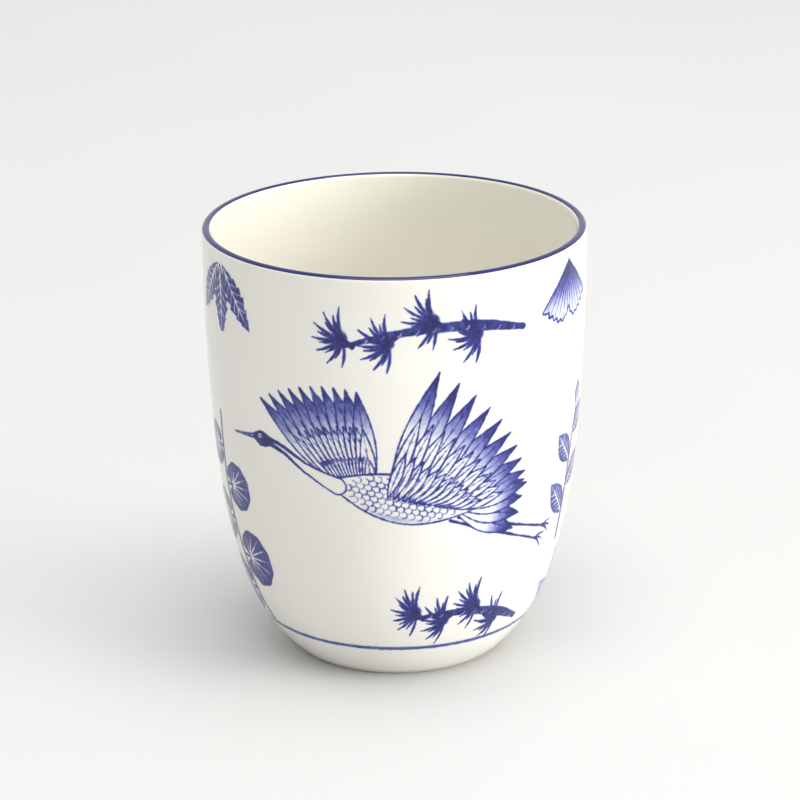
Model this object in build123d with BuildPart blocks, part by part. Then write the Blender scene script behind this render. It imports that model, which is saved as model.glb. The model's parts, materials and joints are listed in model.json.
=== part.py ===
from build123d import *
from math import acos, atan2, cos, degrees, hypot, radians, sin, sqrt
import os

# A handleless porcelain teacup with a stock painted crane and garden plants.
# Origin: centre of the foot on the table. +Z up. The crane faces -Y.
# Lengths are millimetres.

os.makedirs("parts", exist_ok=True)

# Driving dimensions
height = 96.0  # to the top of the lip
radius = 41.5  # glazed surface of the upright upper wall
shoulder = 88.0  # where the upright wall starts to curve in
lip_width = 2.0  # the rounded lip, from glaze to glaze
wall = 3.0  # from glaze to glaze, below the inside's taper from the lip
glaze = 0.2
paint = 0.08  # a fired-on layer of cobalt

# The wall below the shoulder is three arcs, each tangent to the one before.
arc_radii = (485.5, 139.9, 42.0)
arc_turns = (radians(5.02), radians(11.22), radians(36.0))

# Foot and floor
floor_top = 6.0
floor_corner = 8.0
glaze_stop = 0.4  # the outer glaze ends this far above the table
well_radius = 20.2
well_depth = 2.2
well_taper = 12.0
well_corner = 0.9
foot_round = 0.5

# The lip's cobalt band, in degrees round its rounding from the outside to the inside
band_start = 33
band_end = 137

# The painted line above the foot, and the top of the picture
line_height = 9.2
line_width = 0.8
picture_top = 94.0

base = Plane.XY
front = Plane.XZ
lip_round = lip_width / 2
lip_radius = radius - lip_round
lip_height = height - lip_round


def wall_arcs():
    """Centre, radius, start angle and turn of each arc, from the shoulder down."""
    arcs = []
    x = radius
    z = shoulder
    angle = 0.0
    for arc_radius, turn in zip(arc_radii, arc_turns):
        centre = (x - arc_radius * cos(angle), z + arc_radius * sin(angle))
        arcs.append((centre, arc_radius, angle, turn))
        angle += turn
        x = centre[0] + arc_radius * cos(angle)
        z = centre[1] - arc_radius * sin(angle)
    return arcs


def wall_radius(z):
    """Radius of the glazed surface at a height."""
    if z >= shoulder:
        return radius
    for centre, arc_radius, angle, turn in wall_arcs():
        if z >= centre[1] - arc_radius * sin(angle + turn):
            break
    return centre[0] + sqrt(arc_radius**2 - (centre[1] - z) ** 2)


def turned_solid(inset, bottom, corner=0.0, mouth=0.0):
    """The solid inside the wall's surface, inset from the glaze, with a flat bottom.

    A mouth radius makes its upper side a straight taper, from that radius at the
    lip down to where it touches the first arc.
    """
    arcs = wall_arcs()
    centre, arc_radius, touch, turn = arcs[0]
    if mouth:
        across = mouth - centre[0]
        up = lip_height - centre[1]
        touch = acos((arc_radius - inset) / hypot(across, up)) - atan2(up, across)
        arcs[0] = (centre, arc_radius, touch, turn - touch)
    side = mouth or radius - inset
    with BuildPart() as turned:
        with BuildSketch(front):
            with BuildLine():
                for centre, arc_radius, angle, turn in arcs:
                    arc = CenterArc(centre, arc_radius - inset, -degrees(angle), -degrees(turn))
                    if angle == touch:
                        Polyline((side, height), (side, lip_height), arc @ 0)
                end = arc @ 1
                Polyline(end, (0, end.Y), (0, height), (side, height))
            make_face()
        revolve(axis=Axis.Z)
        split(bisect_by=base.offset(bottom), keep=Keep.TOP)
        if corner:
            fillet(turned.faces().sort_by(Axis.Z)[0].edges(), corner)
    return turned.part


def skin(inner, outer, bottom, top):
    """A thin coat on the outside of the wall, between two insets and two heights."""
    with BuildPart() as coat:
        add(turned_solid(outer, bottom))
        add(turned_solid(inner, bottom), mode=Mode.SUBTRACT)
        split(bisect_by=base.offset(top), keep=Keep.BOTTOM)
    return coat.part


def lip_coat(start, end):
    """A coat on the lip's rounding, between two angles from the outside to the inside."""
    with BuildPart() as coat:
        with BuildSketch(front):
            with BuildLine():
                over = CenterArc((lip_radius, lip_height), lip_round, start, end - start)
                under = CenterArc((lip_radius, lip_height), lip_round - glaze, end, start - end)
                Line(over @ 1, under @ 0)
                Line(under @ 1, over @ 0)
            make_face()
        revolve(axis=Axis.Z)
    return coat.part


def finish(part, name):
    """Label a piece and write it out."""
    part.label = name
    export_step(part, f"parts/{name}.step")


# The fired clay: wall, floor and foot ring in one piece
with BuildPart() as cup_body:
    add(turned_solid(glaze, 0))
    mouth = lip_radius - lip_round + glaze
    inside = turned_solid(wall - glaze, floor_top - glaze, floor_corner + glaze, mouth)
    add(inside, mode=Mode.SUBTRACT)
    split(bisect_by=base.offset(lip_height), keep=Keep.BOTTOM)
    with BuildSketch(front):
        with BuildLine():
            lip = CenterArc((lip_radius, lip_height), lip_round - glaze, 0, 180)
            Line(lip @ 1, lip @ 0)
        make_face()
    revolve(axis=Axis.Z)
    with BuildSketch(base):
        Circle(well_radius)
    extrude(amount=well_depth, taper=well_taper, mode=Mode.SUBTRACT)
    circles = cup_body.edges().filter_by(GeomType.CIRCLE)
    fillet(circles.filter_by_position(Axis.Z, 0, 0), foot_round)
    ceiling = cup_body.edges().filter_by(GeomType.CIRCLE).filter_by_position(Axis.Z, well_depth, well_depth)
    fillet(ceiling, well_corner)
finish(cup_body.part, "cup_body")

# Clear glaze over the outside, from the foot to the lip's band
with BuildPart() as outer_glaze:
    add(skin(glaze, 0, glaze_stop, lip_height))
    add(lip_coat(0, band_start))
finish(outer_glaze.part, "outer_glaze")

# Cream glaze over the inside wall and floor, up to the lip's band
with BuildPart() as inner_glaze:
    add(inside)
    space = turned_solid(wall, floor_top, floor_corner, mouth - glaze)
    add(space, mode=Mode.SUBTRACT)
    split(bisect_by=base.offset(lip_height), keep=Keep.BOTTOM)
    add(lip_coat(band_end, 180))
finish(inner_glaze.part, "inner_glaze")

# Glaze on the ceiling of the well under the foot
with BuildPart() as foot_well_glaze:
    with BuildSketch(base.offset(well_depth - glaze)):
        Circle(well_radius - well_depth * sin(radians(well_taper)) - well_corner)
    extrude(amount=glaze)
finish(foot_well_glaze.part, "foot_well_glaze")

# Cobalt band on the crown of the lip
with BuildPart() as rim_band:
    add(lip_coat(band_start, band_end))
finish(rim_band.part, "rim_band")

# Cobalt line round the wall above the foot
with BuildPart() as ground_line:
    add(skin(0, -paint, line_height - line_width / 2, line_height + line_width / 2))
finish(ground_line.part, "ground_line")


# Painted motifs. Each is a stock shape, set out by a few sizes and angles.
# Places are (s, z): s is millimetres round the upright wall from the front,
# positive to the right, and z is the height. Angles are degrees from +s towards +z.
# A stroke is (width, places), and a fill is a closed outline.
paint_skin = skin(0, -paint, line_height + line_width / 2, picture_top)
stroke_end = 0.5  # a stroke's width at its ends, against its middle
leaf_shape = ((0.25, 0.36), (0.6, 0.48))  # share of a leaf's length, and half its width there
leaf_notch = 0.45  # how far in a round leaf's notch reaches
fan_cleft = 0.8  # the same for the cleft of a fan leaf
tuft_shares = (0.28, 0.52, 0.76, 1.0)  # where a pine bough's tufts sit
tuft_aside = 1.8  # how far beside the bough, on alternate sides
tuft_spread = 170
tuft_needles = 7
needle_length = 6.8
needle_width = 1.1
needle_bow = 0.07
bough_width = 2.4
bough_bow = 0.08
stem_bow = 0.05


def flat_point(s, z, middle):
    """A place on the wall, seen square-on from the azimuth of middle."""
    return (wall_radius(z) * sin((s - middle) / radius), z)


def stroke_sides(places, width):
    """The two sides of a brush stroke that tapers towards both ends."""
    left = []
    right = []
    last = len(places) - 1
    for i, (x, z) in enumerate(places):
        before = places[max(i - 1, 0)]
        after = places[min(i + 1, last)]
        dx = after[0] - before[0]
        dz = after[1] - before[1]
        half = width / 2 if 0 < i < last else width / 2 * stroke_end
        shift_x = -dz / hypot(dx, dz) * half
        shift_z = dx / hypot(dx, dz) * half
        left.append((x + shift_x, z + shift_z))
        right.append((x - shift_x, z - shift_z))
    return left, right[::-1]


def painted(middle, strokes=(), fills=(), shift=0.0):
    """Everything brushed on one side of the cup, cut from the paint's skin.

    A fill has a corner at its first place and one at its middle place. A shift in
    millimetres puts the same picture further round the cup.
    """
    turn = (middle + shift) / radius
    outward = Plane(origin=(0, 0, 0), x_dir=(cos(turn), sin(turn), 0), z_dir=(sin(turn), -cos(turn), 0))
    with BuildPart() as area:
        with BuildSketch(outward.offset(radius / 3)):
            for outline in fills:
                places = [flat_point(s, z, middle) for s, z in outline]
                half = len(places) // 2
                with BuildLine():
                    Spline(*places[: half + 1])
                    Spline(*places[half:], places[0])
                make_face()
            for width, *places in strokes:
                left, right = stroke_sides([flat_point(s, z, middle) for s, z in places], width)
                with BuildLine():
                    Spline(*left)
                    Line(left[-1], right[0])
                    Spline(*right)
                    Line(right[-1], left[0])
                make_face()
        extrude(amount=radius)
        add(paint_skin, mode=Mode.INTERSECT)
    return area.part


def beside(place, angle, along, aside=0.0):
    """The place that far along a direction, and that far to the left of it."""
    turn = radians(angle)
    s = place[0] + along * cos(turn) - aside * sin(turn)
    z = place[1] + along * sin(turn) + aside * cos(turn)
    return (s, z)


def on_stem(start, angle, length, bow, share):
    """The place at a share of the way along a stem that bows aside by a share of its length."""
    return beside(start, angle, length * share, 4 * bow * length * share * (1 - share))


def stroke(width, start, angle, length, bow=0.0):
    """A stroke along such a stem."""
    return (width, start, on_stem(start, angle, length, bow, 0.5), beside(start, angle, length))


def leaf(base, angle, length, width):
    """A pointed leaf or feather, from its base round its tip and back."""
    left = [beside(base, angle, length * share, width * half) for share, half in leaf_shape]
    right = [beside(base, angle, length * share, -width * half) for share, half in reversed(leaf_shape)]
    return [base, *left, beside(base, angle, length), *right]


def round_leaf(middle, stem_angle, size):
    """A round leaf with a notch on the side where its stem joins."""
    outline = [beside(middle, stem_angle, size * leaf_notch)]
    for step in range(1, 8):
        outline.append(beside(middle, stem_angle + 45 * step, size))
    return outline


def fan_leaf(base, angle, spread, length):
    """A fan-shaped leaf with a cleft in the middle of its edge."""
    outline = [base]
    for step in range(-2, 3):
        reach = length if step else length * fan_cleft
        outline.append(beside(base, angle + spread / 4 * step, reach))
    return outline


def feathers(count, roots, angles, lengths, width):
    """A fan of feathers, from the first root, angle and length to the last."""
    fan = []
    for i in range(count):
        share = i / (count - 1)
        s, z, angle, length = [a + (b - a) * share for a, b in (*zip(*roots), angles, lengths)]
        fan.append(leaf((s, z), angle, length, width))
    return fan


def pine(base, angle, length, bow):
    """A pine bough with tufts of needles along it."""
    strokes = [stroke(bough_width, base, angle, length, bow)]
    for number, share in enumerate(tuft_shares):
        knot = beside(on_stem(base, angle, length, bow, share), angle, 0, (-1) ** number * tuft_aside)
        for i in range(tuft_needles):
            turn = angle + tuft_spread * (i / (tuft_needles - 1) - 0.5)
            strokes.append(stroke(needle_width, knot, turn, needle_length, needle_bow))
    return strokes


def up_the_stem(base, angle, length, bow, count):
    """Where leaves join a stem, each with the side it is on, 1 or -1, and its share of the way."""
    joints = []
    for i in range(count):
        share = (i + 1) / (count + 1)
        joints.append((on_stem(base, angle, length, bow, share), (-1) ** i, share))
    return joints


# A crane in flight: neck stretched, wings up in a V and legs trailing
neck = (1.6, (-13, 49.6), (-20, 52.6), (-26, 56), (-31, 57.4))
beak = stroke(0.9, (-34, 57.3), 187, 8)
head = leaf((-28.5, 57), 178, 7, 3.6)
crane_body = leaf((18, 43.5), 168, 35, 11)
near_wing = feathers(10, ((12, 44.5), (-2, 47.5)), (6, 68), (20, 30), 4.2)
far_wing = feathers(6, ((-8, 48), (-5, 48.5)), (142, 98), (30, 23), 4.4)
crane_tail = feathers(4, ((13, 43.5), (13, 45)), (-24, 8), (17, 18), 5)
legs = (stroke(0.8, (14, 42), -17, 27), stroke(0.8, (12, 41.5), -21, 27))
with BuildPart() as crane:
    add(painted(-27, [neck, beak], [head]))
    add(painted(0, fills=[crane_body, *near_wing, *far_wing]))
    add(painted(27, legs, crane_tail))
finish(crane.part, "crane")

# Pine boughs, one under the rim and one over the ground line
upper_pine = pine((29, 82.5), 182, 40, -bough_bow)
with BuildPart() as upper_pine_branch:
    add(painted(5, upper_pine))
finish(upper_pine_branch.part, "upper_pine_branch")

lower_pine = pine((37, 12.5), 171, 33, -bough_bow)
with BuildPart() as lower_pine_branch:
    add(painted(21, lower_pine))
finish(lower_pine_branch.part, "lower_pine_branch")

# Pointed leaves hanging from the rim
hanging_fan = feathers(3, ((-46, 93), (-44, 93)), (-128, -52), (16, 16), 6.4)
with BuildPart() as hanging_leaves:
    add(painted(-45, fills=hanging_fan))
finish(hanging_leaves.part, "hanging_leaves")

# Fan leaf hanging from the rim
fan_outline = fan_leaf((45, 93), -90, 96, 13)
with BuildPart() as ginkgo_leaf:
    add(painted(45, fills=[fan_outline]))
finish(ginkgo_leaf.part, "ginkgo_leaf")

# A stem of round leaves, smaller towards the top
plant_base = (-44, 9)
plant_lean = 96
plant_length = 50
plant_leaves = []
for joint, side, share in up_the_stem(plant_base, plant_lean, plant_length, stem_bow, 5):
    size = 7.6 - 3.2 * share
    middle = beside(joint, plant_lean, 0, side * size * 1.05)
    plant_leaves.append(round_leaf(middle, plant_lean - 90 * side, size))
plant_stem = stroke(1.2, plant_base, plant_lean, plant_length, stem_bow)
with BuildPart() as round_leaf_plant:
    add(painted(-46, [plant_stem], plant_leaves))
finish(round_leaf_plant.part, "round_leaf_plant")

# A twig of pointed leaves with a bud at its end
twig_base = (50, 28)
twig_lean = 84
twig_length = 30
twig_leaves = [leaf(beside(twig_base, twig_lean, twig_length), twig_lean, 6, 3.6)]
for joint, side, share in up_the_stem(twig_base, twig_lean, twig_length, stem_bow, 4):
    twig_leaves.append(leaf(joint, twig_lean + 48 * side, 13 - 4 * share, 6))
twig_stem = stroke(1.1, twig_base, twig_lean, twig_length, stem_bow)
with BuildPart() as bud_twig:
    add(painted(51, [twig_stem], twig_leaves))
finish(bud_twig.part, "bud_twig")

# A low spray of pale leaves on the right side
side_spray = feathers(5, ((62, 9), (66, 9)), (150, 30), (18, 18), 5.6)
with BuildPart() as side_leaves:
    add(painted(64, fills=side_spray))
finish(side_leaves.part, "side_leaves")

# The back of the cup carries one more of each kind of plant
with BuildPart() as back_upper_pine_branch:
    add(painted(5, upper_pine, shift=-107))
finish(back_upper_pine_branch.part, "back_upper_pine_branch")

with BuildPart() as back_lower_pine_branch:
    add(painted(21, lower_pine, shift=-104))
finish(back_lower_pine_branch.part, "back_lower_pine_branch")

with BuildPart() as back_bud_twig:
    add(painted(51, [twig_stem], twig_leaves, shift=-168))
finish(back_bud_twig.part, "back_bud_twig")

with BuildPart() as back_round_leaf_plant:
    add(painted(-46, [plant_stem], plant_leaves, shift=146))
finish(back_round_leaf_plant.part, "back_round_leaf_plant")

with BuildPart() as back_hanging_leaves:
    add(painted(-45, fills=hanging_fan, shift=148))
finish(back_hanging_leaves.part, "back_hanging_leaves")
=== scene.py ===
import json
import math

import bpy
import numpy as np
from mathutils import Matrix, Vector


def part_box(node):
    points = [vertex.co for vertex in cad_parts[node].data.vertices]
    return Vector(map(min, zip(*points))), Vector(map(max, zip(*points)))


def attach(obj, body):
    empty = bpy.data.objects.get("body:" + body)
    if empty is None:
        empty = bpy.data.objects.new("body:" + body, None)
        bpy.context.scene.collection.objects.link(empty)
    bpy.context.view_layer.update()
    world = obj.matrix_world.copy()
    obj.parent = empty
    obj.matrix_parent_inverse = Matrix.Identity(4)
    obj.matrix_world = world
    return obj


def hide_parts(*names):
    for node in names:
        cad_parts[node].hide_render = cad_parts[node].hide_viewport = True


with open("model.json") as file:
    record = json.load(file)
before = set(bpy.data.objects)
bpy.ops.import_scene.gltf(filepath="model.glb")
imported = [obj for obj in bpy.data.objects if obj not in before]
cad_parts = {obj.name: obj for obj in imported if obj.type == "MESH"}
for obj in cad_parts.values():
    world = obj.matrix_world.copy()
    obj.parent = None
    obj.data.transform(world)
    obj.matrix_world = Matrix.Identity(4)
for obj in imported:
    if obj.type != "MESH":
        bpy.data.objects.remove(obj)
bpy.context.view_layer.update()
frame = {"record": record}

# A porcelain teacup, painted in cobalt with a stock crane and stock plants.
# Shapes are worked out in millimetres and scaled to metres as they become meshes.
MM = 0.001

# ---------------------------------------------------------------- the cup's sizes
RADIUS = round(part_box("outer_glaze")[1].x / MM, 2)
HEIGHT = round(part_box("rim_band")[1].z / MM, 2)
WALL = 3.0
GLAZE = 0.2
LIP_ROUND = 1.0
LIP_R = RADIUS - LIP_ROUND
LIP_Z = HEIGHT - LIP_ROUND
BAND_START = 33
BAND_END = 137
PICTURE_TOP = 94.0
FLOOR_TOP = 6.0
FLOOR_CORNER = 8.0
GLAZE_STOP = 0.4
WELL_R = 20.2
WELL_DEPTH = 2.2
WELL_CORNER = 0.9
FOOT_ROUND = 0.5
WELL_BARE = 0.3  # clay past the well's side, under the ceiling
WELL_GLAZE_SHORT = 1.4  # how far the well's glaze stops from its side
WALL_STEP = 1.2  # height of one ring of faces on the wall
SHOULDER = 88.0
# The wall's arcs, from the shoulder down, and how far each one turns
ARC_RADII = (485.5, 139.9, 42.0)
ARC_TURNS = (math.radians(5.02), math.radians(11.22), math.radians(36.0))
LINE_Z = 9.2


def wall_arcs():
    """Centre, radius and start angle of each arc of the wall, from the shoulder down."""
    arcs = []
    r = RADIUS
    z = SHOULDER
    angle = 0.0
    for arc, turn in zip(ARC_RADII, ARC_TURNS):
        centre_r = r - arc * math.cos(angle)
        centre_z = z + arc * math.sin(angle)
        arcs.append((centre_r, centre_z, arc, angle))
        angle += turn
        r = centre_r + arc * math.cos(angle)
        z = centre_z - arc * math.sin(angle)
    return arcs


ARCS = wall_arcs()


def wall_at(z, inset=0.0):
    """Radius and outward normal of the wall at each height, inset from the glaze."""
    z = np.asarray(z, float)
    r = np.full(z.shape, RADIUS - inset)
    normal_r = np.ones(z.shape)
    normal_z = np.zeros(z.shape)
    for centre_r, centre_z, arc, angle in ARCS:
        size = arc - inset
        below = z < centre_z - size * math.sin(angle)
        drop = np.clip((z - centre_z) / size, -0.99, 0.0)
        across = np.sqrt(1 - drop**2)
        r = np.where(below, centre_r + size * across, r)
        normal_r = np.where(below, across, normal_r)
        normal_z = np.where(below, drop, normal_z)
    return r, normal_r, normal_z


def on_wall(s, z, lift):
    """Places and normals on the wall: s millimetres round from the front, z up."""
    r, normal_r, normal_z = wall_at(z)
    turn = s / RADIUS
    normals = np.stack([normal_r * np.sin(turn), -normal_r * np.cos(turn), normal_z], -1)
    places = np.stack([r * np.sin(turn), -r * np.cos(turn), z], -1) + lift * normals
    return places * MM, normals


# ---------------------------------------------------------------- materials
def new_material(name):
    """A material with a Principled shader; returns it, its node tree and the shader."""
    material = bpy.data.materials.new(name)
    material.use_nodes = True
    tree = material.node_tree
    return material, tree, tree.nodes["Principled BSDF"]


def noise(tree, scale, detail=3.0, rough=0.5):
    """Noise that is fixed to the cup, with a scale in waves per metre."""
    where = tree.nodes.new("ShaderNodeTexCoord")
    node = tree.nodes.new("ShaderNodeTexNoise")
    node.inputs["Scale"].default_value = scale
    node.inputs["Detail"].default_value = detail
    node.inputs["Roughness"].default_value = rough
    tree.links.new(where.outputs["Object"], node.inputs["Vector"])
    return node.outputs["Fac"]


def mapped(tree, value, low, high, from_low=0.3, from_high=0.7):
    """A value spread over a new range."""
    node = tree.nodes.new("ShaderNodeMapRange")
    node.inputs["From Min"].default_value = from_low
    node.inputs["From Max"].default_value = from_high
    node.inputs["To Min"].default_value = low
    node.inputs["To Max"].default_value = high
    tree.links.new(value, node.inputs["Value"])
    return node.outputs["Result"]


def ramp(tree, value, stops):
    """A colour ramp from (position, colour) stops."""
    node = tree.nodes.new("ShaderNodeValToRGB")
    elements = node.color_ramp.elements
    while len(elements) < len(stops):
        elements.new(0.5)
    for element, (position, colour) in zip(elements, stops):
        element.position = position
        element.color = (*colour, 1.0)
    tree.links.new(value, node.inputs["Fac"])
    return node.outputs["Color"]


def multiplied(tree, first, second):
    """Two colours multiplied."""
    node = tree.nodes.new("ShaderNodeMix")
    node.data_type = "RGBA"
    node.blend_type = "MULTIPLY"
    node.inputs["Factor"].default_value = 1.0
    tree.links.new(first, node.inputs["A"])
    tree.links.new(second, node.inputs["B"])
    return node.outputs["Result"]


def bumped(tree, shader, height, strength, distance):
    """Fine relief on a shader's normal, with a depth in metres."""
    node = tree.nodes.new("ShaderNodeBump")
    node.inputs["Strength"].default_value = strength
    node.inputs["Distance"].default_value = distance
    tree.links.new(height, node.inputs["Height"])
    tree.links.new(node.outputs["Normal"], shader.inputs["Normal"])


def glaze_finish(tree, shader):
    """The gloss of fired glaze: nearly smooth, with a faint uneven melt."""
    shader.inputs["IOR"].default_value = 1.5
    tree.links.new(mapped(tree, noise(tree, 90.0), 0.04, 0.09), shader.inputs["Roughness"])
    bumped(tree, shader, noise(tree, 260.0, 2.0), 0.15, 0.00004)


WHITE_LOW = (0.785, 0.765, 0.70)
WHITE_HIGH = (0.835, 0.82, 0.765)
CREAM_LOW = (0.85, 0.83, 0.73)
CREAM_HIGH = (0.885, 0.865, 0.775)


def glaze_tint(tree, low, high):
    """Glaze colour that drifts a little over the surface."""
    return ramp(tree, noise(tree, 28.0, 2.0), ((0.3, low), (0.7, high)))


def glaze(name, low, high):
    """Plain glaze between two close colours."""
    material, tree, shader = new_material(name)
    tree.links.new(glaze_tint(tree, low, high), shader.inputs["Base Color"])
    glaze_finish(tree, shader)
    return material


def bisque():
    """Unglazed fired clay: matt, dusty and slightly speckled."""
    material, tree, shader = new_material("bisque")
    grain = noise(tree, 900.0, 4.0, 0.7)
    clay = ((0.3, (0.58, 0.52, 0.43)), (0.55, (0.74, 0.70, 0.61)), (0.7, (0.80, 0.76, 0.68)))
    tree.links.new(ramp(tree, grain, clay), shader.inputs["Base Color"])
    tree.links.new(mapped(tree, grain, 0.65, 0.9), shader.inputs["Roughness"])
    bumped(tree, shader, grain, 0.5, 0.00006)
    return material


# What cobalt of each strength lets through to the white glaze under it
COBALT = (
    (0.0, (1.0, 1.0, 1.0)),
    (0.15, (0.68, 0.72, 0.90)),
    (0.35, (0.30, 0.34, 0.70)),
    (0.6, (0.09, 0.105, 0.44)),
    (0.8, (0.025, 0.03, 0.26)),
    (1.0, (0.006, 0.007, 0.12)),
)


def cobalt_over_white(tree, shader, strength):
    """White glaze seen through cobalt of the given strength, under the gloss."""
    cobalt = ramp(tree, strength, COBALT)
    tint = glaze_tint(tree, WHITE_LOW, WHITE_HIGH)
    tree.links.new(multiplied(tree, tint, cobalt), shader.inputs["Base Color"])
    glaze_finish(tree, shader)


def cobalt_paint():
    """Brushed cobalt, as strong as the mesh's own ink attribute says."""
    material, tree, shader = new_material("cobalt_paint")
    ink = tree.nodes.new("ShaderNodeAttribute")
    ink.attribute_name = "ink"
    mottle = tree.nodes.new("ShaderNodeMath")
    mottle.operation = "MULTIPLY"
    tree.links.new(ink.outputs["Fac"], mottle.inputs[0])
    tree.links.new(mapped(tree, noise(tree, 900.0, 4.0, 0.65), 0.82, 1.1), mottle.inputs[1])
    cobalt_over_white(tree, shader, mottle.outputs["Value"])
    return material


def cobalt_band():
    """The thick band on the lip, thinner and paler in places."""
    material, tree, shader = new_material("cobalt_band")
    cobalt_over_white(tree, shader, mapped(tree, noise(tree, 220.0, 4.0), 0.9, 1.0))
    return material


MATERIALS = {
    "bisque": bisque(),
    "white_glaze": glaze("white_glaze", WHITE_LOW, WHITE_HIGH),
    "cream_glaze": glaze("cream_glaze", CREAM_LOW, CREAM_HIGH),
    "cobalt_paint": cobalt_paint(),
    "cobalt_band": cobalt_band(),
}
SLOTS = {part["node"]: part["material_slot"] for part in frame["record"]["subparts"]}


# ---------------------------------------------------------------- pieces
def add_piece(node, mesh):
    """Put a finished mesh in place of a CAD node, in that node's own finish."""
    mesh.materials.append(MATERIALS[SLOTS[node]])
    piece = bpy.data.objects.new(node + "_look", mesh)
    bpy.context.scene.collection.objects.link(piece)
    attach(piece, "root")
    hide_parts(node)
    return piece


def wall_curve(inset, low, high):
    """Profile places up the wall between two heights."""
    heights = np.linspace(low, high, 1 + math.ceil((high - low) / WALL_STEP))
    radii = wall_at(heights, inset)[0]
    return list(zip(radii, heights))


def arc(centre, size, start, end, steps=12):
    """Profile places round an arc, between two angles in degrees."""
    angles = np.radians(np.linspace(start, end, steps + 1))
    return [(centre[0] + size * math.cos(a), centre[1] + size * math.sin(a)) for a in angles]


def rounded_bottom(inset, floor, corner):
    """Profile places round the corner between a flat bottom and the wall, inset from the glaze."""
    centre_r, centre_z, wall_arc, _ = ARCS[-1]
    reach = wall_arc - inset - corner
    z = floor + corner
    r = centre_r + math.sqrt(reach**2 - (z - centre_z) ** 2)
    end = math.degrees(math.atan2(z - centre_z, r - centre_r))
    return arc((r, z), corner, -90, end)


def inside_wall(inset, floor, corner):
    """Profile places over the floor, up the inside wall and its taper, to the lip."""
    bottom = rounded_bottom(inset, floor, corner)
    mouth = LIP_R - LIP_ROUND + WALL - inset
    centre_r, centre_z, wall_arc, _ = ARCS[0]
    across = mouth - centre_r
    up = LIP_Z - centre_z
    touch = math.acos((wall_arc - inset) / math.hypot(across, up)) - math.atan2(up, across)
    top = centre_z - (wall_arc - inset) * math.sin(touch)
    wall = wall_curve(inset, bottom[-1][1] + 0.4, top)
    slope = (mouth - wall[-1][0]) / (LIP_Z - top)
    taper = [(wall[-1][0] + slope * (z - top), z) for z in np.linspace(top, LIP_Z, 14)[1:]]
    return [(0.0, floor), (bottom[0][0] / 2, floor)] + bottom + wall + taper


def turned(node, profile, closed, steps=192):
    """A piece turned on the cup's axis from (r, z) places; a place on the axis is one point."""
    rings = []
    verts = []
    for r, z in profile:
        first = len(verts)
        if r < 1e-6:
            verts.append((0.0, 0.0, z * MM))
            rings.append([first] * steps)
            continue
        for i in range(steps):
            turn = 2 * math.pi * i / steps
            verts.append((r * math.cos(turn) * MM, r * math.sin(turn) * MM, z * MM))
        rings.append(list(range(first, first + steps)))
    faces = []
    pairs = list(zip(rings, rings[1:]))
    if closed:
        pairs.append((rings[-1], rings[0]))
    for low, high in pairs:
        for i in range(steps):
            j = (i + 1) % steps
            corners = [low[i], low[j], high[j], high[i]]
            faces.append(list(dict.fromkeys(corners)))
    mesh = bpy.data.meshes.new(node)
    mesh.from_pydata(verts, [], faces)
    mesh.shade_smooth()
    mesh.set_sharp_from_angle(angle=math.radians(40))
    return add_piece(node, mesh)


def make_body():
    """Fired clay: foot ring, wall, rounded lip, inside wall and floor."""
    ceiling = WELL_R - WELL_BARE
    foot = rounded_bottom(GLAZE, 0.0, FOOT_ROUND)
    profile = [(0.0, WELL_DEPTH), (ceiling / 2, WELL_DEPTH)]
    profile += arc((ceiling - WELL_CORNER, WELL_DEPTH - WELL_CORNER), WELL_CORNER, 90, 0, 6)
    profile += arc((WELL_R + FOOT_ROUND, FOOT_ROUND), FOOT_ROUND, 180, 270, 6)
    profile += foot
    profile += wall_curve(GLAZE, foot[-1][1] + 0.2, LIP_Z)
    profile += arc((LIP_R, LIP_Z), LIP_ROUND - GLAZE, 15, 165)
    profile += inside_wall(WALL - GLAZE, FLOOR_TOP - GLAZE, FLOOR_CORNER + GLAZE)[::-1]
    turned("cup_body", profile, False)


def make_outer_glaze():
    """Clear coat outside, from a thin edge at the foot to the lip's band."""
    profile = [(float(wall_at(GLAZE_STOP, GLAZE / 2)[0]), GLAZE_STOP)]
    profile += wall_curve(0.0, GLAZE_STOP + 0.12, LIP_Z)
    profile += arc((LIP_R, LIP_Z), LIP_ROUND, 4, BAND_START, 6)
    profile += arc((LIP_R, LIP_Z), LIP_ROUND - GLAZE, BAND_START, 4, 6)
    profile += wall_curve(GLAZE, GLAZE_STOP + 0.12, LIP_Z)[::-1]
    turned("outer_glaze", profile, True)


def make_inner_glaze():
    """Cream coat over the inside wall and floor, up to the lip's band."""
    upper = inside_wall(WALL, FLOOR_TOP, FLOOR_CORNER)
    lower = inside_wall(WALL - GLAZE, FLOOR_TOP - GLAZE, FLOOR_CORNER + GLAZE)
    over = arc((LIP_R, LIP_Z), LIP_ROUND, 176, BAND_END, 6)
    under = arc((LIP_R, LIP_Z), LIP_ROUND - GLAZE, BAND_END, 176, 6)
    profile = upper + over + under + lower[::-1]
    turned("inner_glaze", profile[::-1], False)


def make_foot_well_glaze():
    """Glaze on the ceiling of the foot's well, with a rounded edge."""
    edge = WELL_R - WELL_GLAZE_SHORT
    profile = [(0.0, WELL_DEPTH), (edge / 2, WELL_DEPTH), (edge, WELL_DEPTH)]
    profile += arc((edge - GLAZE, WELL_DEPTH), GLAZE, 0, -90, 5)[1:]
    profile += [(edge / 2, WELL_DEPTH - GLAZE), (0.0, WELL_DEPTH - GLAZE)]
    turned("foot_well_glaze", profile[::-1], False)


def make_rim_band():
    """Cobalt band on the crown of the lip."""
    profile = arc((LIP_R, LIP_Z), LIP_ROUND, BAND_START, BAND_END, 20)
    profile += arc((LIP_R, LIP_Z), LIP_ROUND - GLAZE, BAND_END, BAND_START, 10)
    turned("rim_band", profile, True, 256)


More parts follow.
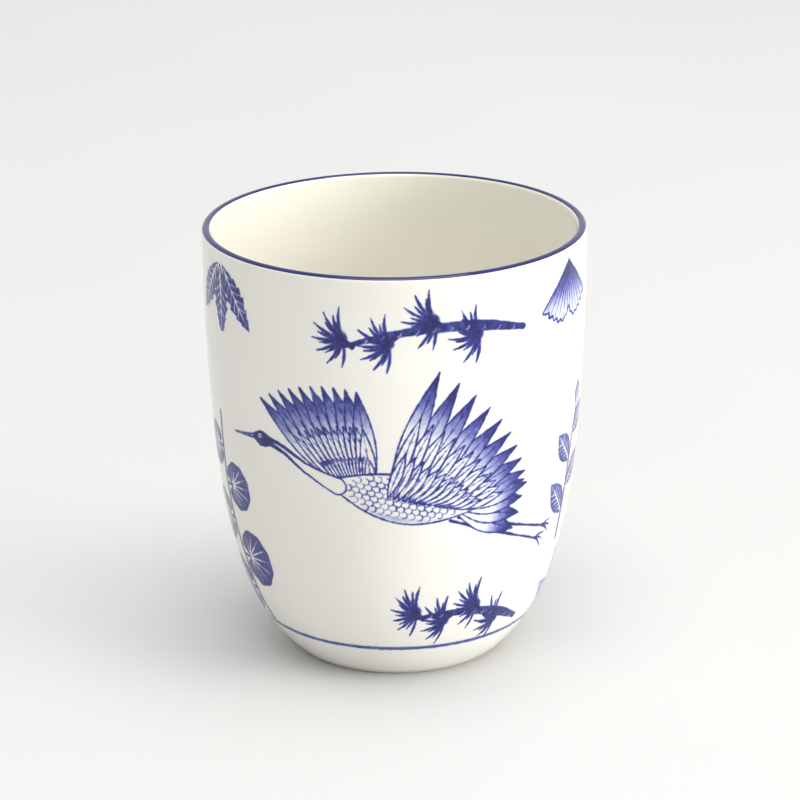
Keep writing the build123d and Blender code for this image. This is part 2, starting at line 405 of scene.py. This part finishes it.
# ---------------------------------------------------------------- painting
def smooth(places, steps=8):
    """A curve through the places (Catmull-Rom)."""
    p = np.array(places, float)
    p = np.vstack([2 * p[0] - p[1], p, 2 * p[-1] - p[-2]])
    t = np.linspace(0, 1, steps, endpoint=False)[:, None]
    spans = []
    for a, b, c, d in zip(p, p[1:], p[2:], p[3:]):
        square = (2 * a - 5 * b + 4 * c - d) * t**2
        cube = (3 * b - a - 3 * c + d) * t**3
        spans.append(0.5 * (2 * b + (c - a) * t + square + cube))
    return np.vstack(spans + [p[-2][None]])


def drift(s, z, scale, seed):
    """Smooth random drift from -1 to 1 over the wall, with waves of about the scale in mm."""
    lattice = np.random.RandomState(seed).uniform(-1, 1, (64, 64))
    u = s / scale + 500
    v = z / scale + 500
    i = np.floor(u).astype(int)
    j = np.floor(v).astype(int)
    a = (u - i) ** 2 * (3 - 2 * (u - i))
    b = (v - j) ** 2 * (3 - 2 * (v - j))
    low = lattice[i % 64, j % 64] * (1 - a) + lattice[(i + 1) % 64, j % 64] * a
    high = lattice[i % 64, (j + 1) % 64] * (1 - a) + lattice[(i + 1) % 64, (j + 1) % 64] * a
    return low * (1 - b) + high * b


def eased(x):
    """A share from 0 to 1 that starts and ends gently."""
    x = np.clip(x, 0, 1)
    return x * x * (3 - 2 * x)


class Painting:
    """Ink on an unrolled stretch of the wall, from 0 to 1 at the corners of a fine grid."""

    def __init__(self, s_range, z_range, cell):
        self.s = np.arange(s_range[0], s_range[1] + cell, cell)
        self.z = np.arange(z_range[0], z_range[1] + cell, cell)
        s, z = np.meshgrid(self.s, self.z)
        self.ink = np.zeros(s.shape)
        self.waver = 0.07 * drift(s, z, 1.1, 3) + 0.05 * drift(s, z, 0.45, 4)
        self.pool = 1 + 0.09 * drift(s, z, 2.3, 5) + 0.06 * drift(s, z, 0.7, 6)

    def window(self, path, reach):
        """Rows and columns of the grid that lie within reach of a path."""
        low = path.min(0) - reach
        high = path.max(0) + reach
        cols = slice(*np.searchsorted(self.s, (low[0], high[0])))
        rows = slice(*np.searchsorted(self.z, (low[1], high[1])))
        return rows, cols

    def nearest(self, path, window):
        """Distance to a path and the share of it passed, at each grid corner in a window."""
        s = self.s[window[1]][None, :]
        z = self.z[window[0]][:, None]
        away = np.full((z.size, s.size), np.inf)
        along = np.zeros((z.size, s.size))
        steps = np.diff(path, axis=0)
        lengths = np.maximum(np.hypot(*steps.T), 1e-9)
        passed = np.concatenate([[0], np.cumsum(lengths)])
        for start, step, length, before in zip(path, steps, lengths, passed):
            t = np.clip(((s - start[0]) * step[0] + (z - start[1]) * step[1]) / length**2, 0, 1)
            d = np.hypot(s - start[0] - t * step[0], z - start[1] - t * step[1])
            closer = d < away
            away = np.where(closer, d, away)
            along = np.where(closer, (before + t * length) / passed[-1], along)
        return away, along

    def lay(self, window, ink):
        """More ink over what is there, pooled unevenly."""
        self.ink[window] = 1 - (1 - self.ink[window]) * (1 - np.clip(ink * self.pool[window], 0, 1))

    def cover(self, places, widths, soft):
        """How much of each grid corner one pull of the brush covers."""
        path = smooth(places)
        window = self.window(path, max(widths) / 2 + soft)
        away, along = self.nearest(path, window)
        half = np.interp(along, np.linspace(0, 1, len(widths)), widths) / 2
        return window, along, eased((half + soft / 2 - away - self.waver[window]) / soft)

    def brush(self, places, widths=(0.28, 0.36, 0.38, 0.3), tones=(0.75, 0.85, 0.8), soft=0.26):
        """One pull of the brush, with widths and tones that change along it."""
        window, along, covered = self.cover(places, widths, soft)
        self.lay(window, covered * np.interp(along, np.linspace(0, 1, len(tones)), tones))

    def wipe(self, places, widths, soft=0.3, strength=0.92):
        """Paint taken off again along a pull, which leaves a pale vein."""
        window, _, covered = self.cover(places, widths, soft)
        self.ink[window] *= 1 - strength * covered

    def filled(self, outline, soft):
        """How deep each grid corner in a window lies inside an outline."""
        path = np.array([*outline, outline[0]], float)
        window = self.window(path, soft)
        s = self.s[window[1]][None, :] + 0 * self.z[window[0]][:, None]
        z = self.z[window[0]][:, None] + 0 * s
        inside = np.zeros(s.shape, bool)
        for (s0, z0), (s1, z1) in zip(path, path[1:]):
            if z0 != z1:
                crosses = (z0 > z) != (z1 > z)
                inside ^= crosses & (s < s0 + (z - z0) / (z1 - z0) * (s1 - s0))
        away = self.nearest(path, window)[0]
        return window, s, z, np.where(inside, away, -away) - self.waver[window]

    def blank(self, outline):
        """Wall left bare inside an outline, where one shape lies over another."""
        window, _, _, depth = self.filled(outline, 0.3)
        self.ink[window] *= 1 - eased((depth + 0.15) / 0.3)

    def wash(self, outline, tones, ends, soft=0.3):
        """A filled outline, with a tone that changes from one end to the other."""
        window, s, z, depth = self.filled(outline, soft)
        (s0, z0), (s1, z1) = ends
        share = ((s - s0) * (s1 - s0) + (z - z0) * (z1 - z0)) / ((s1 - s0) ** 2 + (z1 - z0) ** 2)
        tone = tones[0] + (tones[1] - tones[0]) * eased(share)
        pooled = tone * (1 + 0.12 * np.exp(-((depth - 0.35) / 0.3) ** 2))
        self.lay(window, pooled * eased((depth + soft / 2) / soft))


FAINT = 0.035  # ink under this is left out of the mesh
PAINT_LIFT = 0.03  # how far the paint's face stands off the wall
PAINT_ROOT = 0.03  # and how far its back is sunk into the glaze
NEAR_CORNER = 0.02  # an outline stays this share of a cell's side away from its corners


def paint_mesh(name, painting, shift=0.0):
    """A thin closed mesh of all the ink in a painting, cut along its outline."""
    ink = painting.ink
    rows, cols = ink.shape
    inked = ink > FAINT
    number = np.full(ink.shape, -1)
    number[inked] = np.arange(inked.sum())
    s_grid, z_grid = np.meshgrid(painting.s, painting.z)
    s = list(s_grid[inked])
    z = list(z_grid[inked])
    level = list(ink[inked])
    corner_sets = [inked[:-1, :-1], inked[:-1, 1:], inked[1:, 1:], inked[1:, :-1]]
    count = sum(c.astype(int) for c in corner_sets)
    full_row, full_col = np.nonzero(count == 4)
    faces = np.stack(
        [
            number[full_row, full_col],
            number[full_row, full_col + 1],
            number[full_row + 1, full_col + 1],
            number[full_row + 1, full_col],
        ],
        -1,
    ).tolist()
    crossings = {}
    for row, col in zip(*np.nonzero((count > 0) & (count < 4))):
        ring = [(row, col), (row, col + 1), (row + 1, col + 1), (row + 1, col)]
        face = []
        for here, there in zip(ring, ring[1:] + ring[:1]):
            if inked[here]:
                face.append(int(number[here]))
            if inked[here] != inked[there]:
                key = (min(here, there), max(here, there))
                if key not in crossings:
                    crossings[key] = len(s)
                    t = (FAINT - ink[here]) / (ink[there] - ink[here])
                    t = min(max(t, NEAR_CORNER), 1 - NEAR_CORNER)
                    s.append(s_grid[here] + t * (s_grid[there] - s_grid[here]))
                    z.append(z_grid[here] + t * (z_grid[there] - z_grid[here]))
                    level.append(FAINT)
                face.append(crossings[key])
        faces.append(face)
    edges = {}
    for face in faces:
        for a, b in zip(face, face[1:] + face[:1]):
            if edges.pop((b, a), None) is None:
                edges[(a, b)] = True
    s = np.array(s) + shift
    z = np.array(z)
    total = len(s)
    top, normals = on_wall(s, z, PAINT_LIFT)
    root = on_wall(s, z, -PAINT_ROOT)[0]
    under = [[v + total for v in face[::-1]] for face in faces]
    sides = [[b, a, a + total, b + total] for a, b in edges]
    mesh = bpy.data.meshes.new(name)
    mesh.from_pydata(np.vstack([top, root]), [], faces + under + sides)
    attribute = mesh.attributes.new("ink", "FLOAT", "POINT")
    attribute.data.foreach_set("value", np.array(level + level, np.float32))
    mesh.shade_smooth()
    mesh.normals_split_custom_set_from_vertices(np.vstack([normals, normals]))
    return mesh


# Every motif is a stock shape, with the CAD's places, sizes and angles and finer strokes.
# Places are (s, z) in mm: round the upright wall from the front, and up.
# Angles are degrees from +s towards +z.
LEAF_NOTCH = 0.45
FAN_CLEFT = 0.8
TUFT_SHARES = (0.28, 0.52, 0.76, 1.0)
TUFT_ASIDE = 1.8
TUFT_SPREAD = 170
TUFT_NEEDLES = 13
NEEDLE_LENGTH = 6.8
NEEDLE_BOW = 0.07
BOUGH_BOW = 0.08
STEM_BOW = 0.05
LEAF_SOFT = 0.28  # how softly the edge of a leaf or feather fades
BARB = ((0.16, 0.12), (0.35, 0.15), 0.2)  # widths, tones and softness of a feather's barb
# count, share of the full length and width of each row of a wing's feathers, longest first
FEATHER_ROWS = ((10, 1.0, 4.4), (12, 0.64, 3.0), (13, 0.36, 2.3))


def beside(place, angle, along, aside=0.0):
    """The place that far along a direction, and that far to the left of it."""
    turn = math.radians(angle)
    s = place[0] + along * math.cos(turn) - aside * math.sin(turn)
    z = place[1] + along * math.sin(turn) + aside * math.cos(turn)
    return np.array((s, z))


def on_stem(start, angle, length, bow, share):
    """The place at a share of the way along a stem that bows aside by a share of its length."""
    return beside(start, angle, length * share, 4 * bow * length * share * (1 - share))


def stem(start, angle, length, bow=0.0):
    """Five places along a stem."""
    return [on_stem(start, angle, length, bow, share) for share in (0, 0.25, 0.5, 0.75, 1)]


def up_the_stem(base, angle, length, bow, count):
    """Where leaves join a stem, each with the side it is on, 1 or -1, and its share of the way."""
    joints = []
    for i in range(count):
        share = (i + 1) / (count + 1)
        joints.append((on_stem(base, angle, length, bow, share), (-1) ** i, share))
    return joints


def leaf_side(base, angle, length, width, side, teeth=0):
    """One side of a pointed leaf or feather, from its base to its tip."""
    places = []
    for share in np.linspace(0, 1, 1 + (6 * teeth or 12)):
        half = width / 2 * math.sin(math.pi * share)
        half *= 1 - 0.3 * (share * teeth % 1)
        places.append(beside(base, angle, length * share, side * half))
    return places


def leaf(base, angle, length, width, teeth=0):
    """The whole outline of a pointed leaf or feather."""
    left = leaf_side(base, angle, length, width, 1, teeth)
    right = leaf_side(base, angle, length, width, -1, teeth)
    return left + right[-2:0:-1]


def spread(count, roots, angles, lengths):
    """Root, angle and length of each feather in a fan, from the first to the last."""
    for share in np.linspace(0, 1, count):
        s, z, angle, length = [a + (b - a) * share for a, b in (*zip(*roots), angles, lengths)]
        yield (s, z), angle, length


def paint_leaf(p, base, angle, length, width, tones=(0.95, 0.75), teeth=0):
    """A pointed leaf that changes tone towards its tip, with a pale midrib and side veins."""
    outline = leaf(base, angle, length, width, teeth)
    p.wash(outline, tones, (base, beside(base, angle, length)), LEAF_SOFT)
    p.wipe([beside(base, angle, length * share) for share in (0.06, 0.5, 0.9)], (0.5, 0.42, 0.12))
    for share in np.arange(0.16, 0.76, 0.12):
        reach = width * 0.4 * math.sin(math.pi * (share + 0.1))
        for side in (1, -1):
            vein = []
            for t in (0, 0.5, 1):
                vein.append(beside(base, angle, length * (share + 0.14 * t), side * reach * t))
            p.wipe(vein, (0.36, 0.3, 0.12), 0.26, 0.8)


def paint_feather(p, base, angle, length, width, dark=0.0):
    """A feather over what is under it: two edges, a shaft, fine barbs and perhaps a dark tip."""
    outline = leaf(base, angle, length, width)
    p.blank(outline)
    if dark:
        tip_start = beside(base, angle, length * 0.45)
        p.wash(outline, (0.0, dark), (tip_start, beside(base, angle, length)), LEAF_SOFT)
    for side in (1, -1):
        p.brush(leaf_side(base, angle, length, width, side))
        for share in np.arange(0.3, 0.9, 0.12):
            reach = width * 0.3 * math.sin(math.pi * share)
            root = beside(base, angle, length * share)
            p.brush([root, beside(base, angle, length * (share + 0.09), side * reach)], *BARB)
    shaft = [beside(base, angle, length * share) for share in (0.1, 0.5, 0.92)]
    p.brush(shaft, (0.2, 0.3, 0.16), (0.5, 0.75, 0.5))


def paint_wing(p, roots, angles, lengths, dark):
    """Long feathers with dark tips, and two shorter rows over their roots."""
    for count, share, width in FEATHER_ROWS:
        tip = dark if share == 1.0 else 0.0
        for root, angle, length in spread(count, roots, angles, lengths):
            paint_feather(p, root, angle, length * share, width, tip)


def paint_crane_body(p):
    """The body, with its outline, a soft shade along the belly and rows of small scales."""
    base, angle, length, width = (18, 43.5), 168, 35, 11
    scale_size = 0.75
    row_gap = 1.15
    p.blank(leaf(base, angle, length, width))
    for side in (1, -1):
        p.brush(leaf_side(base, angle, length, width, side), (0.3, 0.42, 0.45, 0.4))
    belly = []
    for share in (0.2, 0.4, 0.6, 0.8):
        belly.append(beside(base, angle, length * share, width * 0.42 * math.sin(math.pi * share)))
    p.brush(belly, (0.3, 1.2, 0.4), (0.0, 0.28, 0.0), 1.0)
    for row in range(7):
        for column in range(14):
            share = 0.16 + 0.05 * column + 0.025 * (row % 2)
            aside = (row - 3) * row_gap
            if abs(aside) + 0.8 < width / 2 * math.sin(math.pi * share):
                middle = beside(base, angle, length * share, aside)
                scale = [beside(middle, angle + turn, scale_size) for turn in (80, 130, 180, 230, 280)]
                p.brush(scale, (0.22, 0.3, 0.22), (0.5, 0.7, 0.5))


def paint_crane_head(p):
    """The stretched neck, dark towards the head, and the beak and eye."""
    neck = [(-13, 49.6), (-20, 52.6), (-26, 56), (-31, 57.4)]
    nape, facing, head_length, head_width = (-28.5, 57), 178, 7, 3.6
    beak_angle = 187
    p.blank(leaf(neck[-1], -27, 18, 3))
    p.brush(neck, (4.2, 2.7, 2.1, 2.2), (0.85, 0.92, 0.97))
    p.wipe(neck, (3.5, 1.9, 0.5, 0.0), 0.3, 1.0)
    brow = beside(nape, facing, head_length)
    p.wash(leaf(nape, facing, head_length, head_width), (0.95, 0.95), (nape, brow))
    p.brush(stem((-34, 57.3), beak_angle, 8), (1.2, 0.8, 0.2), (0.95, 0.85))
    p.wipe(stem((-35, 57.2), beak_angle, 5), (0.2, 0.2), 0.2, 0.7)
    eye = beside(nape, facing, 4.2, -0.5)
    p.wipe([eye, eye + 0.1], (1.0, 1.0), 0.2, 1.0)
    p.brush([eye, eye + 0.1], (0.45, 0.45), (0.97, 0.97), 0.2)


def paint_crane_leg(p, hip, angle):
    """A trailing leg with a knuckle half way and three spread toes."""
    length = 27
    p.brush(stem(hip, angle, length), (0.75, 0.5, 0.85, 0.5, 0.6), (0.9, 0.85))
    for turn in (-24, 0, 24):
        p.brush(stem(beside(hip, angle, length), angle + turn, 4, 0.08), (0.6, 0.5, 0.2), (0.9, 0.8))


def paint_crane(p):
    """A crane in flight: neck stretched, wings up in a V and legs trailing."""
    paint_wing(p, ((-8, 48), (-5, 48.5)), (142, 98), (30, 23), 0.75)
    paint_crane_leg(p, (14, 42), -17)
    paint_crane_leg(p, (12, 41.5), -21)
    for root, angle, length in spread(4, ((13, 43.5), (13, 45)), (-24, 8), (17, 18)):
        paint_feather(p, root, angle, length, 5, 0.97)
    paint_crane_body(p)
    paint_wing(p, ((12, 44.5), (-2, 47.5)), (6, 68), (20, 30), 0.9)
    paint_crane_head(p)


def paint_pine(p, base, angle, length, seed):
    """A pine bough with tufts of needles in a wet haze."""
    draw = np.random.RandomState(seed)
    bough = stem(base, angle, length, -BOUGH_BOW)
    for number, share in enumerate(TUFT_SHARES):
        fork = on_stem(base, angle, length, -BOUGH_BOW, share)
        knot = beside(fork, angle, 0, (-1) ** number * TUFT_ASIDE)
        p.brush([beside(fork, angle, -2.0), knot], (1.2, 0.9), (0.9, 0.9), 0.3)
        for turn in (-60, 0, 60):
            p.brush(stem(knot, angle + turn, NEEDLE_LENGTH * 0.42), (2.2, 2.0, 1.0), (0.55, 0.3), 0.9)
        for i in range(TUFT_NEEDLES):
            turn = angle + TUFT_SPREAD * (i / (TUFT_NEEDLES - 1) - 0.5) + draw.uniform(-3, 3)
            reach = NEEDLE_LENGTH * (draw.uniform(0.66, 0.8) if i % 2 else draw.uniform(0.92, 1.0))
            p.brush(stem(knot, turn, reach, NEEDLE_BOW), (0.5, 0.75, 0.7, 0.22), (0.6, 0.85, 0.96), 0.3)
    p.brush(bough, (1.3, 2.5, 2.0, 1.5, 0.9), (0.96, 0.8, 0.95), 0.4)
    for share in np.arange(0.06, 0.9, 0.09):
        mark = on_stem(base, angle, length, -BOUGH_BOW, share)
        p.wipe(stem(mark, angle + 40, 1.1, 0.2), (0.25, 0.3, 0.15), 0.3, 0.6)


def paint_upper_pine(p):
    paint_pine(p, (29, 82.5), 182, 40, 11)


def paint_lower_pine(p):
    paint_pine(p, (37, 12.5), 171, 33, 12)


def paint_hanging_leaves(p):
    for root, angle, length in spread(3, ((-46, 93), (-44, 93)), (-128, -52), (16, 16)):
        paint_leaf(p, root, angle, length, 6.4, (0.95, 0.7), 7)


def paint_ginkgo_leaf(p):
    """A fan leaf: dark at its stem, with drawn edges, a cleft and veins that fan out."""
    base, angle, fan_angle, length = (45, 93), -90, 96, 13
    cleft_width = 0.13
    edge = []
    for turn in np.linspace(-1, 1, 25):
        ripple = 1 - 0.03 * math.cos(12 * math.pi * turn)
        cleft = 1 - (1 - FAN_CLEFT) * math.exp(-((turn / cleft_width) ** 2))
        edge.append(beside(base, angle + fan_angle / 2 * turn, length * ripple * cleft))
    p.wash([base, *edge], (0.95, 0.12), (base, beside(base, angle, length * 0.85)))
    p.brush([base, *edge, base], (0.45, 0.45), (0.9, 0.9))
    for tip in edge[1:-1:2]:
        vein = [base, base + (tip - base) * 0.5, base + (tip - base) * 0.92]
        p.brush(vein, (0.45, 0.34, 0.16), (0.85, 0.5))


def paint_round_leaf(p, middle, stem_angle, size):
    """A round leaf with a wavy edge, a notch at its stem and pale veins from there."""
    heart = beside(middle, stem_angle, size * LEAF_NOTCH)
    edge = []
    for turn in np.linspace(20, 340, 33):
        ripple = 1 + 0.025 * math.cos(math.radians(turn * 9))
        edge.append(beside(middle, stem_angle + turn, size * ripple))
    p.wash([heart, *edge], (0.95, 0.72), (heart, beside(middle, stem_angle + 180, size)))
    for turn in range(60, 301, 30):
        tip = beside(middle, stem_angle + turn, size * 0.82)
        p.wipe([heart, (heart + tip) / 2, tip], (0.5, 0.42, 0.12), 0.3, 0.88)


def paint_round_leaves(p):
    base, angle, length = (-44, 9), 96, 50
    p.brush(stem(base, angle, length, STEM_BOW), (1.3, 1.0, 0.7), (0.9, 0.8))
    for joint, side, share in up_the_stem(base, angle, length, STEM_BOW, 5):
        size = 7.6 - 3.2 * share
        paint_round_leaf(p, beside(joint, angle, 0, side * size * 1.05), angle - 90 * side, size)
        p.brush([joint, beside(joint, angle, 0, side * size * 0.6)], (0.8, 0.6), (0.85, 0.85))


def paint_bud_twig(p):
    base, angle, length = (50, 28), 84, 30
    p.brush(stem(base, angle, length, STEM_BOW), (1.2, 0.9, 0.7), (0.9, 0.8))
    paint_leaf(p, beside(base, angle, length), angle, 6, 3.6, (0.7, 0.97))
    for joint, side, share in up_the_stem(base, angle, length, STEM_BOW, 4):
        paint_leaf(p, joint, angle + 48 * side, 13 - 4 * share, 6, (0.9, 0.6))


def paint_side_leaves(p):
    for root, angle, length in spread(5, ((62, 9), (66, 9)), (150, 30), (18, 18)):
        paint_leaf(p, root, angle, length, 5.6, (0.6, 0.4))


def paint_ground_line(p):
    p.brush([(p.s[1], LINE_Z), (p.s[-2], LINE_Z)], (0.9, 0.9), (0.7, 0.7), 0.35)


HALF_WAY_ROUND = math.pi * RADIUS
OVER_LINE = LINE_Z + 0.4  # motifs start on the ground line's upper edge
# node: how to paint it, the stretch of wall and the size of its grid
PAINTINGS = {
    "crane": (paint_crane, (-44, 43), (27, 78), 0.175),
    "upper_pine_branch": (paint_upper_pine, (-20, 31), (72, PICTURE_TOP), 0.18),
    "lower_pine_branch": (paint_lower_pine, (-4, 39), (OVER_LINE, 30), 0.18),
    "hanging_leaves": (paint_hanging_leaves, (-58, -32), (78, PICTURE_TOP), 0.2),
    "ginkgo_leaf": (paint_ginkgo_leaf, (34, 58), (80, PICTURE_TOP), 0.2),
    "round_leaf_plant": (paint_round_leaves, (-66, -28), (OVER_LINE, 62), 0.2),
    "bud_twig": (paint_bud_twig, (37, 65), (26, 66), 0.2),
    "side_leaves": (paint_side_leaves, (43, 85), (OVER_LINE, 29), 0.22),
    "ground_line": (paint_ground_line, (-HALF_WAY_ROUND, HALF_WAY_ROUND), (LINE_Z - 1, LINE_Z + 1), 0.2),
}
# Five plants come again on the back: node, whose picture, how far round in mm
BACK = (
    ("back_upper_pine_branch", "upper_pine_branch", -107),
    ("back_lower_pine_branch", "lower_pine_branch", -104),
    ("back_bud_twig", "bud_twig", -168),
    ("back_round_leaf_plant", "round_leaf_plant", 146),
    ("back_hanging_leaves", "hanging_leaves", 148),
)


def make_paintings():
    """Every painted piece, with the back's plants copied round from the front's."""
    done = {}
    for node, (paint, s_range, z_range, cell) in PAINTINGS.items():
        painting = Painting(s_range, z_range, cell)
        paint(painting)
        done[node] = painting
        add_piece(node, paint_mesh(node, painting))
    for node, source, shift in BACK:
        add_piece(node, paint_mesh(node, done[source], shift))


# ---------------------------------------------------------------- the scene
def make_floor():
    """A plain pale table top, faintly mottled."""
    size = 3.0
    corners = [(-size, -size, 0), (size, -size, 0), (size, size, 0), (-size, size, 0)]
    mesh = bpy.data.meshes.new("floor")
    mesh.from_pydata(corners, [], [(0, 1, 2, 3)])
    material, tree, shader = new_material("floor")
    mottle = ((0.3, (0.642, 0.639, 0.625)), (0.7, (0.672, 0.669, 0.655)))
    tree.links.new(ramp(tree, noise(tree, 3.0, 2.0), mottle), shader.inputs["Base Color"])
    shader.inputs["Roughness"].default_value = 0.8
    mesh.materials.append(material)
    floor = bpy.data.objects.new("floor", mesh)
    bpy.context.scene.collection.objects.link(floor)


BRIGHT_SIDE = (0.5, 0.6, 0.62)  # the side of the room that is brightest, from the cup
LAMP_WHITE = (1.0, 0.995, 0.985)
CAMERA_PLACE = (0.0009, -0.6634, 0.2891)
CAMERA_PITCH = 19.42  # degrees below level
CAMERA_ROLL = -0.58


def area_light(name, place, target, size, power, colour=LAMP_WHITE):
    """A soft rectangular light that points at a target, with its power in watts."""
    data = bpy.data.lights.new(name, "AREA")
    data.shape = "RECTANGLE"
    data.size, data.size_y = size
    data.energy = power
    data.color = colour
    light = bpy.data.objects.new(name, data)
    light.location = place
    light.rotation_euler = (Vector(target) - Vector(place)).to_track_quat("-Z", "Y").to_euler()
    bpy.context.scene.collection.objects.link(light)


def make_light():
    """A pale room, darker behind the camera, with a window on the right, a lamp above and a low fill."""
    world = bpy.data.worlds.new("room")
    world.use_nodes = True
    tree = world.node_tree
    where = tree.nodes.new("ShaderNodeTexCoord")
    towards = tree.nodes.new("ShaderNodeVectorMath")
    towards.operation = "DOT_PRODUCT"
    towards.inputs[1].default_value = BRIGHT_SIDE
    tree.links.new(where.outputs["Generated"], towards.inputs[0])
    background = tree.nodes["Background"]
    background.inputs["Color"].default_value = (0.98, 0.985, 1.0, 1.0)
    strength = mapped(tree, towards.outputs["Value"], 0.38, 0.92, -0.7, 0.4)
    tree.links.new(strength, background.inputs["Strength"])
    bpy.context.scene.world = world
    middle = (0, 0, 0.05)
    area_light("window", (1.3, -0.45, 0.35), middle, (0.8, 0.6), 12.5, (1.0, 0.99, 0.97))
    area_light("lamp", (0.2, -0.4, 2.1), middle, (1.6, 1.6), 25.0)
    area_light("fill", (0.6, -1.1, 0.12), (0, 0, 0.01), (1.2, 0.22), 1.8)


def make_camera():
    """A long lens in front of the cup, looking down at it."""
    data = bpy.data.cameras.new("camera")
    data.lens = 144
    data.sensor_width = 36
    camera = bpy.data.objects.new("camera", data)
    pitch = Matrix.Rotation(math.radians(90 - CAMERA_PITCH), 4, "X")
    roll = Matrix.Rotation(math.radians(CAMERA_ROLL), 4, "Z")
    camera.matrix_world = Matrix.Translation(CAMERA_PLACE) @ pitch @ roll
    bpy.context.scene.collection.objects.link(camera)
    bpy.context.scene.camera = camera


make_camera()
make_body()
make_outer_glaze()
make_inner_glaze()
make_foot_well_glaze()
make_rim_band()
make_paintings()
make_floor()
make_light()
bpy.context.scene.view_settings.view_transform = "Standard"
